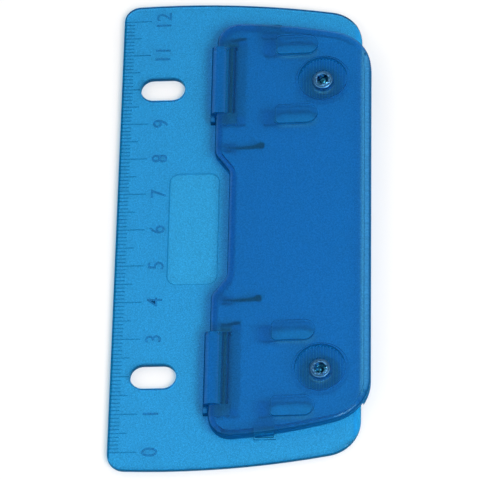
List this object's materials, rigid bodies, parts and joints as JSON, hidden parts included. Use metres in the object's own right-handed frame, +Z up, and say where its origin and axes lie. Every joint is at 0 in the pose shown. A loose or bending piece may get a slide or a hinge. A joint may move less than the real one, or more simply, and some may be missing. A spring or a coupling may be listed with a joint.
{
  "type": "pocket hole punch",
  "caption": "Flat pocket hole punch: a ruler plate with filing slots and a hinged lever with punch pins.",
  "frame": {"origin": "middle of the footprint on the table: under the middle of the ruler and of the depth", "axes": "+X along the ruler towards the larger numbers, +Y towards the ruler edge, +Z up"},
  "size_m": [0.1292, 0.0628, 0.0052],
  "materials": {
    "base_plastic": "translucent light blue moulding with a fine grain",
    "lever_plastic": "translucent blue moulding with a fine grain",
    "die_steel": "turned steel",
    "hinge_steel": "drawn steel wire",
    "spring_steel": "tempered spring steel",
    "punch_steel": "plated hardened steel"
  },
  "bodies": {
    "base": {"base_plate": "base_plastic", "die_insert_left": "die_steel", "die_insert_right": "die_steel", "hinge_pin_left": "hinge_steel", "hinge_pin_right": "hinge_steel", "return_spring_left": "spring_steel", "return_spring_right": "spring_steel"},
    "lever": {"lever_cover": "lever_plastic", "punch_pin_left": "punch_steel", "punch_pin_right": "punch_steel", "pin_collar_left": "punch_steel", "pin_collar_right": "punch_steel"}
  },
  "joints": [
    {"name": "lever_hinge", "type": "hinge", "parent": "base", "child": "lever", "pos_m": [0, 0.0036, 0.00245], "axis": [1, 0, 0], "range_deg": [0, 2.74], "stiffness_Nm_per_rad": 0.6, "springref_deg": -2.5, "deforming": ["return_spring_left", "return_spring_right"]}
  ]
}
